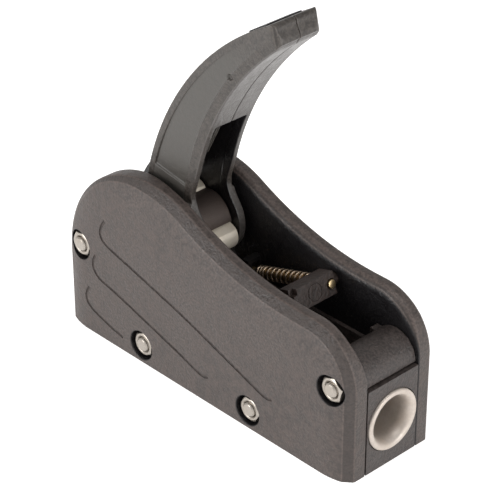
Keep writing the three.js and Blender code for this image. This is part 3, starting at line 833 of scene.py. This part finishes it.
# ---------------------------------------------------------------- fasteners
def bolt(index, spot):
    """A socket-head cross bolt; its threaded end shows in the nut."""
    seat = HALF_WIDTH - RECESS_DEPTH + GAP
    tip = -HALF_WIDTH + 0.2
    profile = [(0, tip + 0.05), (1.2, tip)]
    profile += [(BOLT_RADIUS - 0.5, tip + 0.02), (BOLT_RADIUS - 0.2, tip + 0.25)]
    for i in range(THREAD_TURNS * 2 + 1):
        cut = THREAD_DEPTH if i % 2 else 0
        profile.append((BOLT_RADIUS - cut, tip + 0.5 + i * THREAD_PITCH / 2))
    top = seat + HEAD_HEIGHT
    profile += [(BOLT_RADIUS, seat), (HEAD_RADIUS - 0.2, seat), (HEAD_RADIUS, seat + 0.2)]
    profile += [(HEAD_RADIUS, top - 0.5), (HEAD_RADIUS - 0.2, top - 0.1)]
    profile += [(HEAD_RADIUS - 0.5, top), (0, top)]
    obj = lathe(f"bolt_{index}", profile, (spot.x, 0, spot.z), "Y", 56)
    key = hexagon("key", KEY_FLATS, spot, seat + 1.9, seat + 6)
    boolean(obj, [key])
    shade(obj, 35)
    return place(obj, [f"cross_bolt_{index}"], "housing", FASTENER_STEEL)


def hexagon(name, flats, spot, low, high, turn=0.0):
    reach = flats / math.sqrt(3)
    turns = [turn + PI * i / 3 for i in range(6)]
    outline = [(spot.x + reach * math.sin(t), spot.z + reach * math.cos(t)) for t in turns]
    return prism(name, outline, low, high)


def nut(index, spot):
    """A hexagon nut with a chamfered face, sunk in its pocket."""
    seat = -HALF_WIDTH + RECESS_DEPTH - 0.05
    top = -HALF_WIDTH + NUT_DEPTH
    obj = hexagon(f"nut_{index}_hex", NUT_FLATS, spot, top, seat, NUT_TURNS[index - 1])
    dome = [(0, top), (3.65, top), (4.1, top + 0.22), (4.62, top + 0.62)]
    dome += [(4.8, seat - 0.5), (4.3, seat), (0, seat)]
    boolean(obj, [lathe("dome", dome, (spot.x, 0, spot.z), "Y", 64)], "INTERSECT")
    bore = [(0, top - 1), (3.2, top - 1), (3.2, top - 0.01), (BOLT_RADIUS + 0.15, top + 0.45)]
    bore += [(BOLT_RADIUS + 0.15, seat + 1), (0, seat + 1)]
    boolean(obj, [lathe("bore", bore, (spot.x, 0, spot.z), "Y", 48)])
    rounded(obj, 0.1, 2, 25)
    shade(obj, 30)
    return place(obj, [f"nut_{index}"], "housing", FASTENER_STEEL)


# ---------------------------------------------------------------- handle
def on_arc(circle, x):
    return (x, circle[1] + math.sqrt(circle[2] ** 2 - (x - circle[0]) ** 2))


def angle_on(circle, point):
    return math.atan2(point[1] - circle[1], point[0] - circle[0])


def bezier(a, b, c, d, steps):
    """Points of a cubic curve after its start."""
    a, b, c, d = (Vector(p) for p in (a, b, c, d))
    spots = []
    for i in range(1, steps + 1):
        t = i / steps
        p = a * (1 - t) ** 3 + b * 3 * t * (1 - t) ** 2 + c * 3 * t * t * (1 - t) + d * t ** 3
        spots.append((p.x, p.y))
    return spots


def handle_outline():
    """The lobe round the pivot, the neck, the palm's arc, the rounded tip and the back's arc."""
    back_foot = (PIVOT.x - LOBE_RADIUS, BACK_FOOT_Z)
    back_top = on_arc(BACK_ARC, TIP_TOP[0] - 1.6)
    palm_top = on_arc(PALM_ARC, TIP_LOW[0] - 1.8)
    lobe = arc(PIVOT.x, PIVOT.z, LOBE_RADIUS, PI, 2 * PI + 0.7, 48)
    outline = lobe + bezier(lobe[-1], *NECK, 12) + [PALM_FOOT]
    outline += arc(*PALM_ARC, angle_on(PALM_ARC, PALM_FOOT), angle_on(PALM_ARC, palm_top), 48)[1:]
    outline += [(TIP_LOW[0] + x, TIP_LOW[1] + z) for x, z in TIP_LOW_CORNER]
    outline += [(TIP_TOP[0] + x, TIP_TOP[1] + z) for x, z in TIP_TOP_CORNER]
    outline += arc(*BACK_ARC, angle_on(BACK_ARC, back_top), angle_on(BACK_ARC, back_foot), 60)
    return outline


def handle_hollow():
    """The handle's hollow seen from the side, open at the palm and at the foot."""
    inner = (BACK_ARC[0], BACK_ARC[1], BACK_ARC[2] - SKIN)
    top = (inner[0] - math.sqrt(inner[2] ** 2 - (SOLID_FROM - inner[1]) ** 2), SOLID_FROM)
    foot_x = PIVOT.x - LOBE_RADIUS + SKIN
    under = PIVOT.z - LOBE_RADIUS - 2
    outside = foot_x - 2 * SKIN
    outline = arc(*inner, angle_on(inner, top), angle_on(inner, (foot_x, BACK_FOOT_Z + 2)), 30)
    outline += [(foot_x, HOLLOW_FOOT_Z), (outside, HOLLOW_FOOT_Z), (outside, under)]
    return outline + [(10, under), (10, SOLID_FROM)]


def handle_panel(side):
    """A cutter for the smooth sunk panel of one side; it runs out towards the tip."""
    outer = (BACK_ARC[0], BACK_ARC[1], BACK_ARC[2] - PANEL_INSET)
    inner = (PALM_ARC[0], PALM_ARC[1], PALM_ARC[2] + BAND_WIDTH)
    low_left, low_right = (-28.6, 69.4), (-18.7, 68.2)
    high_left, high_right = on_arc(outer, 15), on_arc(inner, 15.5)
    outline = arc(*outer, angle_on(outer, high_left), angle_on(outer, low_left), 40)
    outline += arc(*inner, angle_on(inner, low_right), angle_on(inner, high_right), 40)
    n = len(outline)
    floor_y = [HANDLE_HALF - 0.6 * (132 - z) / 62 for _, z in outline]
    verts = [(x, side * y, z) for (x, z), y in zip(outline, floor_y)]
    verts += [(x, side * (HANDLE_HALF + 1), z) for x, z in outline]
    return make("panel", verts, box_faces(n))


def palm_bevel(side):
    """A cutter for the long shallow slope along the palm edge of one side."""
    steps = 60
    start = angle_on(PALM_ARC, PALM_FOOT) + 0.12
    end = angle_on(PALM_ARC, TIP_LOW) - 0.05
    section = [(-1.5, HANDLE_HALF - 1.25), (BAND_WIDTH, HANDLE_HALF + 0.02), (-1.5, HANDLE_HALF + 1)]
    verts = []
    for i in range(steps + 1):
        turn = start + (end - start) * i / steps
        for rise, y in section:
            radius = PALM_ARC[2] + rise
            x = PALM_ARC[0] + radius * math.cos(turn)
            z = PALM_ARC[1] + radius * math.sin(turn)
            verts.append((x, side * y, z))
    faces = [(0, 1, 2), (3 * steps, 3 * steps + 1, 3 * steps + 2)]
    for i in range(steps):
        for k in range(3):
            here, ahead = 3 * i, 3 * i + 3
            m = (k + 1) % 3
            faces.append((here + k, here + m, ahead + m, ahead + k))
    return make("bevel", verts, faces)


def tip_limit():
    """A long block with round corners whose end is the handle's tip, seen from above."""
    lean = math.atan2(TIP_TOP[0] + 0.8 - TIP_LOW[0], TIP_TOP[1] - TIP_LOW[1])
    half, reach, corner = HANDLE_HALF, 90, TIP_SIDE_RADIUS
    outline = [(-reach, -half)] + arc(-corner, -half + corner, corner, -PI / 2, 0, 10)
    outline += arc(-corner, half - corner, corner, 0, PI / 2, 10) + [(-reach, half)]
    n = len(outline)
    verts = [(x, y, z) for z in (-160, 60) for x, y in outline]
    obj = make("limit", verts, box_faces(n))
    turn = Matrix.Rotation(lean, 4, "Y")
    shift = Matrix.Translation(Vector((TIP_LOW[0] + 0.05, 0, TIP_LOW[1])) * MM)
    obj.data.transform(shift @ turn)
    return obj


def inlay_outline(rise, drop, trim):
    """A strip that follows the back's arc, from drop under it to rise over it."""
    start, end = INLAY_START + trim, INLAY_END - trim
    outer = arc(BACK_ARC[0], BACK_ARC[1], BACK_ARC[2] + rise, start, end, 16)
    return outer + arc(BACK_ARC[0], BACK_ARC[1], BACK_ARC[2] - drop, end, start, 16)


def handle_half(side, node):
    """One half of the handle: a hollow shell with a sunk side panel and half of the middle rib."""
    near, far = side * 0.05, side * HANDLE_HALF
    low, high = min(near, far), max(near, far)
    obj = prism(node + "_shell", handle_outline(), low, high)
    boolean(obj, [tip_limit()], "INTERSECT")
    inner = sorted((side * WALL_INNER, -side))
    cutters = [prism("hollow", handle_hollow(), inner[0], inner[1])]
    cutters.append(handle_panel(side))
    cutters.append(palm_bevel(side))
    cutters.append(prism("inlay", inlay_outline(2, INLAY_DEPTH, 0), -INLAY_HALF, INLAY_HALF))
    cutters.append(bar("cut", SHAFT_HOLE, (PIVOT.x, 0, PIVOT.z), -20, 20, steps=40))
    for spot in (CRANK, TIE):
        cutters.append(bar("cut", PIN_HOLE, (spot.x, 0, spot.z), -20, 20, steps=32))
    bowl = [(0, 8.4), (0.8, 8.55), (1.1, 9.0), (1.1, 10), (0, 10)]
    dent = lathe("cut", bowl, (DENT[0], 0, DENT[1]), "Y", 24)
    if side < 0:
        dent.data.transform(Matrix.Scale(-1, 4, (0, 1, 0)))
        outward(dent)
    cutters.append(dent)
    boolean(obj, cutters)
    ys = sorted((near, side * RIB_HALF))
    boolean(obj, [prism("rib", RIB, ys[0], ys[1])], "UNION")
    moulded(obj, 0.22, 8)
    return place(obj, [node], "handle", HANDLE_NYLON)


def inlay():
    """The black strip let into the back of the grip."""
    half = INLAY_HALF - GAP
    outline = inlay_outline(INLAY_PROUD, INLAY_DEPTH - GAP, GAP / BACK_ARC[2])
    obj = prism("grip_inlay_strip", outline, -half, half)
    rounded(obj, 0.15, 2, 40)
    shade(obj, 35)
    return place(obj, ["grip_inlay"], "handle", BLACK_NYLON)


def hub():
    """The metal drum between the handle's walls, scooped for the two pins."""
    half = WALL_INNER - GAP
    rim = [(HUB_RADIUS - 0.5, half), (HUB_RADIUS - 0.15, half - 0.15), (HUB_RADIUS, half - 0.5)]
    profile = [(SHAFT_HOLE, -half)] + [(r, -y) for r, y in rim]
    profile += list(reversed(rim)) + [(SHAFT_HOLE, half)]
    obj = lathe("hub_drum", profile, (PIVOT.x, 0, PIVOT.z), "Y", 96, ring=True)
    scoops = [bar("cut", PIN_RADIUS + GAP, (spot.x, 0, spot.z), -20, 20, steps=64) for spot in (CRANK, TIE)]
    boolean(obj, scoops)
    shade(obj, 35)
    return place(obj, ["pivot_hub"], "handle", HUB_METAL)


def pin(node, spot):
    """A stepped pin with a flat ground on one side."""
    half = WALL_INNER - 2 * GAP
    end = HANDLE_HALF - 0.5
    profile = [(0, -end), (2.3, -end), (2.5, -end + 0.2), (2.5, -half), (PIN_RADIUS - 0.5, -half)]
    profile += [(PIN_RADIUS - 0.15, -half + 0.15), (PIN_RADIUS, -half + 0.5)]
    profile += [(r, -y) for r, y in reversed(profile)]
    obj = lathe(node + "_turned", profile, (spot.x, 0, spot.z), "Y", 88)
    flat = block("flat", (PIN_RADIUS - 0.6, -half - 1, -9), (9, half + 1, 9))
    turn = Matrix.Rotation(math.radians(-68), 4, "Y")
    flat.data.transform(Matrix.Translation(Vector((spot.x, 0, spot.z)) * MM) @ turn)
    boolean(obj, [flat])
    shade(obj, 35)
    return place(obj, [node], "handle", PIN_STEEL)


def shaft():
    low, high = node_box("pivot_shaft")
    obj = bar("pivot_bar", SHAFT_RADIUS, (PIVOT.x, 0, PIVOT.z), low.y, high.y, edge=0.5)
    shade(obj, 35)
    return place(obj, ["pivot_shaft"], "housing", PIN_STEEL)


def washer(node):
    low, high = node_box(node)
    rim = WASHER_RADIUS - 0.2
    profile = [(SHAFT_HOLE, low.y), (rim, low.y), (WASHER_RADIUS, low.y + 0.2)]
    profile += [(WASHER_RADIUS, high.y - 0.2), (rim, high.y), (SHAFT_HOLE, high.y)]
    obj = lathe(node + "_disc", profile, (PIVOT.x, 0, PIVOT.z), "Y", 72, ring=True)
    shade(obj, 35)
    return place(obj, [node], "housing", BLACK_NYLON)


# ---------------------------------------------------------------- cam
def cam():
    """The frame's own toothed cam, with its edges broken."""
    source = frame["nodes"]["cam"]
    obj = bpy.data.objects.new("toothed_cam", source.data.copy())
    bpy.context.scene.collection.objects.link(obj)
    obj.data.transform(source.matrix_world)
    tidy(obj)
    flatten(obj)
    rounded(obj, 0.2, 2, 30)
    shade(obj, 35)
    return place(obj, ["cam"], "jaw_cam", CAM_PAINTED_SHADE_METAL)


def flatten(obj):
    """Joins the flat triangles of a faceted mesh back into whole faces."""
    bm = bmesh.new()
    bm.from_mesh(obj.data)
    bmesh.ops.dissolve_limit(bm, angle_limit=math.radians(1), verts=bm.verts, edges=bm.edges)
    bm.to_mesh(obj.data)
    bm.free()


# ---------------------------------------------------------------- spring gear
def on_spring_line(obj):
    """Turns a piece laid out along X from the block's centre onto the spring's slope."""
    shift = Matrix.Translation(Vector((BLOCK.x, 0, BLOCK.z)) * MM)
    obj.data.transform(shift @ Matrix.Rotation(-TILT, 4, "Y"))
    return obj


def spring_block():
    """The block that the spring pushes on, with a notch, a bore and two trunnions."""
    half, height, length = 8.7, 7.6, 6
    obj = block("spring_seat_block", (-length / 2, -half, -height / 2), (length / 2, half, height / 2))
    cutters = [block("cut", (0.8, -half - 1, height / 2 - 2), (length, -half + 1.6, height))]
    cutters.append(bar("cut", ROD_RADIUS + GAP, (0, ROD_Y, 0), -9, 9, "X", steps=40))
    mark = [(3.0, 2.7), (3.0, 3.4), (2.6, 3.4), (2.6, 2.7)]
    cutters.append(lathe("cut", mark, (0, 0, 0), "X", 48, ring=True))
    boolean(obj, cutters)
    rounded(obj, 0.28, 3, 35)
    spans = ((8, 13), (-13, -8))
    stubs = [bar("stub", STUB_RADIUS, (0, 0, 0), start, end, edge=0.3, steps=40) for start, end in spans]
    boolean(obj, stubs, "UNION")
    shade(obj, 35)
    return place(on_spring_line(obj), ["spring_block"], "spring_carrier", BLOCK_NYLON)


def guide_rod():
    """The brass rod inside the spring, with a groove for its clip."""
    front = ROD_FRONT
    rear = front - ROD_LENGTH
    groove = [(ROD_RADIUS, rear + 1.2), (1.0, rear + 1.2), (1.0, rear + 2.4), (ROD_RADIUS, rear + 2.4)]
    profile = [(0, rear), (1.2, rear), (ROD_RADIUS, rear + 0.3)] + groove
    profile += [(ROD_RADIUS, front - 0.25), (1.42, front - 0.08), (1.25, front), (0, front)]
    obj = lathe("rod_turned", profile, (0, ROD_Y, 0), "X", 48)
    shade(obj, 35)
    return place(on_spring_line(obj), ["guide_rod"], "spring_carrier", ROD_BRASS)


def rod_clip():
    """The split ring in the rod's groove."""
    start = ROD_FRONT - ROD_LENGTH + 1.5
    end = start + 0.6
    profile = [(1.2, start), (2.0, start), (2.1, start + 0.1), (2.1, end - 0.1), (2.0, end), (1.2, end)]
    obj = lathe("clip_ring", profile, (0, ROD_Y, 0), "X", 56, ring=True)
    boolean(obj, [block("cut", (start - 1, ROD_Y - 0.8, -4), (start + 2, ROD_Y + 0.8, 0))])
    shade(obj, 35)
    return place(on_spring_line(obj), ["rod_clip"], "spring_carrier", FASTENER_STEEL)


def spring_seat():
    """The washer that slides on the rod and pushes the spring's rear end."""
    front = -SEAT_REACH
    back = front - 1.4
    profile = [(1.8, back), (2.2, back), (2.4, back + 0.2), (2.4, front - 0.2), (2.2, front), (1.8, front)]
    obj = lathe("seat_washer", profile, (0, ROD_Y, 0), "X", 56, ring=True)
    shade(obj, 35)
    return place(on_spring_line(obj), ["spring_seat"], "spring_follower", SPRING_STEEL)


def coil_rise(turn):
    """How far along the spring a turn has come; the first and last turns are wound closer."""
    free_turns = SPRING_TURNS - 2 * CLOSED_TURNS
    closed = min(turn, CLOSED_TURNS) + max(0, turn - CLOSED_TURNS - free_turns)
    return closed * CLOSED_PITCH + max(0, min(turn - CLOSED_TURNS, free_turns))


def return_spring():
    """A coil with closed end turns, running from the block to its seat."""
    start = -3 - WIRE_RADIUS - 0.05
    end = -SEAT_REACH + WIRE_RADIUS + 0.05
    steps = SPRING_TURNS * 28
    total = coil_rise(SPRING_TURNS)
    path = []
    for i in range(steps + 1):
        turn = SPRING_TURNS * i / steps
        x = start + (end - start) * coil_rise(turn) / total
        around = 2 * PI * turn
        path.append((x, ROD_Y + COIL_RADIUS * math.cos(around), COIL_RADIUS * math.sin(around)))
    obj = on_spring_line(tube("coil", path, WIRE_RADIUS, 12))
    shade(obj, 40)
    obj.data.materials.append(SPRING_STEEL)
    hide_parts("return_spring")
    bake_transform(obj)
    return obj


# ---------------------------------------------------------------- stage
LENS = 153.19
CAMERA_PLACE = (419.5, -397.0, 400.2)
HEADING = math.radians(136.367)
PITCH = math.radians(-31.417)


def camera():
    """A long lens above the near front corner."""
    data = bpy.data.cameras.new("camera")
    data.lens = LENS
    data.sensor_width = 36
    obj = bpy.data.objects.new("camera", data)
    bpy.context.scene.collection.objects.link(obj)
    obj.location = Vector(CAMERA_PLACE) * MM
    level = math.cos(PITCH)
    ahead = Vector((level * math.cos(HEADING), level * math.sin(HEADING), math.sin(PITCH)))
    obj.rotation_euler = ahead.to_track_quat("-Z", "Y").to_euler()
    bpy.context.scene.camera = obj


def area_light(name, place_at, size, power):
    """A soft box aimed at the object's middle."""
    data = bpy.data.lights.new(name, "AREA")
    data.size = size
    data.energy = power
    obj = bpy.data.objects.new(name, data)
    bpy.context.scene.collection.objects.link(obj)
    obj.location = place_at
    obj.rotation_euler = (Vector((0, 0, 0.05)) - Vector(place_at)).to_track_quat("-Z", "Y").to_euler()


def floor():
    """A pale table that glows a little, as a light table does."""
    size = 3.0
    corners = [(-size, -size, 0), (size, -size, 0), (size, size, 0), (-size, size, 0)]
    mesh = bpy.data.meshes.new("floor")
    mesh.from_pydata(corners, [], [(0, 1, 2, 3)])
    obj = bpy.data.objects.new("floor", mesh)
    bpy.context.scene.collection.objects.link(obj)
    n = Nodes("light_table")
    cloud = n.span(n.noise(30, 3), 0.3, 0.7, 0, 1)
    n.set("Base Color", n.mix(cloud, (0.86, 0.86, 0.86), (0.9, 0.9, 0.9)))
    n.set("Roughness", 0.9)
    n.set("Emission Color", (1.0, 0.99, 0.98))
    n.set("Emission Strength", 0.6)
    mesh.materials.append(n.material)


def world():
    """A pale room: bright walls and a dimmer ceiling."""
    room = bpy.data.worlds.new("studio")
    room.use_nodes = True
    tree = room.node_tree
    where = tree.nodes.new("ShaderNodeTexCoord")
    split = tree.nodes.new("ShaderNodeSeparateXYZ")
    tree.links.new(where.outputs["Generated"], split.inputs["Vector"])
    level = tree.nodes.new("ShaderNodeMapRange")
    horizon, zenith = 0.95, 0.35
    for key, value in (("From Min", 0.1), ("From Max", 0.8), ("To Min", horizon), ("To Max", zenith)):
        level.inputs[key].default_value = value
    tree.links.new(split.outputs["Z"], level.inputs["Value"])
    tree.links.new(level.outputs["Result"], tree.nodes["Background"].inputs["Strength"])
    tree.nodes["Background"].inputs["Color"].default_value = (1, 0.99, 0.98, 1)
    bpy.context.scene.world = room


def lighting():
    world()
    area_light("left box", (-0.35, -1.2, 0.4), 0.7, 9)
    area_light("right box", (1.2, 0.1, 0.4), 0.7, 5.5)
    area_light("top box", (0.2, -0.1, 1.3), 0.5, 4)


# ---------------------------------------------------------------- build
cover(-1, "cover_near")
cover(1, "cover_far")
base()
bridge(1, "front_bridge")
bridge(-1, "rear_bridge")
bush(1, "front_bush")
bush(-1, "rear_bush")
jaw()
for number, bolt_place in enumerate(BOLTS, 1):
    bolt(number, bolt_place)
    nut(number, bolt_place)
shaft()
washer("thrust_washer_near")
washer("thrust_washer_far")
handle_half(-1, "handle_half_near")
handle_half(1, "handle_half_far")
inlay()
hub()
pin("crank_pin", CRANK)
pin("tie_pin", TIE)
cam()
spring_block()
guide_rod()
rod_clip()
spring_seat()
return_spring()

camera()
floor()
lighting()
bpy.context.scene.view_settings.view_transform = "Standard"
